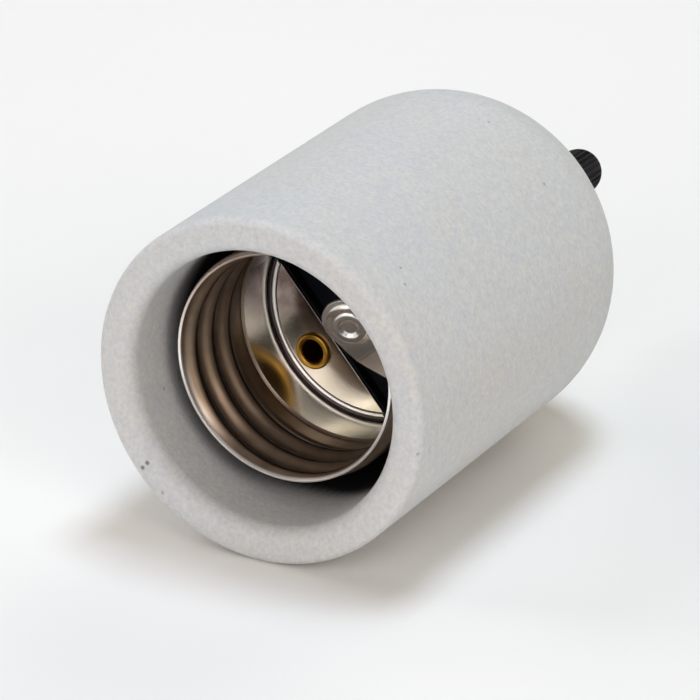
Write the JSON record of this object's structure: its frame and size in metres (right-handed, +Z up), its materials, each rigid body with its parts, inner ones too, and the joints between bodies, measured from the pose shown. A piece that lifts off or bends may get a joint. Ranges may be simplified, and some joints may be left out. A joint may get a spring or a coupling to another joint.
{
  "type": "lamp holder",
  "caption": "Medium screw lamp holder with a porcelain body, a rolled thread shell, a side pipe outlet and a rotary switch turned by a slim fluted knob at the back.",
  "frame": {"origin": "centre of the side outlet's mouth, where the supply pipe enters, under the body", "axes": "+Y along the holder from the lamp's mouth to the switch knob, +Z up, away from the side outlet's mouth; the lamp goes in along +Y"},
  "size_m": [0.0402, 0.0812, 0.0402],
  "materials": {
    "porcelain": "unglazed matt porcelain, faintly mottled",
    "outlet_steel": "zinc plated steel",
    "shell_metal": "nickel plated brass sheet",
    "eyelet_brass": "bare brass",
    "phenolic": "black moulded phenolic",
    "contact_metal": "nickel plated spring bronze",
    "blade_brass": "spring brass",
    "screw_nickel": "nickel plated steel",
    "screw_brass": "bright brass",
    "rotor_moulding": "brown moulded phenolic",
    "shaft_steel": "turned steel",
    "spring_steel": "blued spring steel",
    "fibre": "red vulcanised fibre",
    "bushing_metal": "nickel plated",
    "knob_black": "black moulded plastic"
  },
  "bodies": {
    "holder": {"ceramic_body": "porcelain", "side_outlet_bushing": "outlet_steel", "screw_shell": "shell_metal", "shell_eyelets": "eyelet_brass", "contact_base": "phenolic", "contact_rivet": "eyelet_brass", "contact_blade": "blade_brass", "line_blade": "blade_brass", "line_terminal_screw": "screw_brass", "shell_terminal": "contact_metal", "shell_terminal_screw": "screw_nickel", "switch_housing": "phenolic", "index_spring": "spring_steel", "thrust_washer": "fibre", "shaft_bushing": "bushing_metal", "lock_washer": "bushing_metal", "bushing_nut": "bushing_metal"},
    "turning_switch": {"knob": "knob_black", "switch_shaft": "shaft_steel", "rotor": "rotor_moulding", "rotor_bridge": "blade_brass", "rotor_pin": "shaft_steel"},
    "contact_strip": {"centre_contact": "contact_metal"}
  },
  "joints": [
    {"name": "knob_turn", "type": "hinge", "parent": "holder", "child": "turning_switch", "pos_m": [0, 0.023, 0.01844], "axis": [0, -0.9998, 0.0201], "continuous": true},
    {"name": "contact_press", "type": "hinge", "parent": "holder", "child": "contact_strip", "pos_m": [0.00579, -0.01163, 0.01238], "axis": [-0.7593, -0.0131, -0.6506], "range_deg": [0, 5], "stiffness_Nm_per_rad": 0.3}
  ]
}
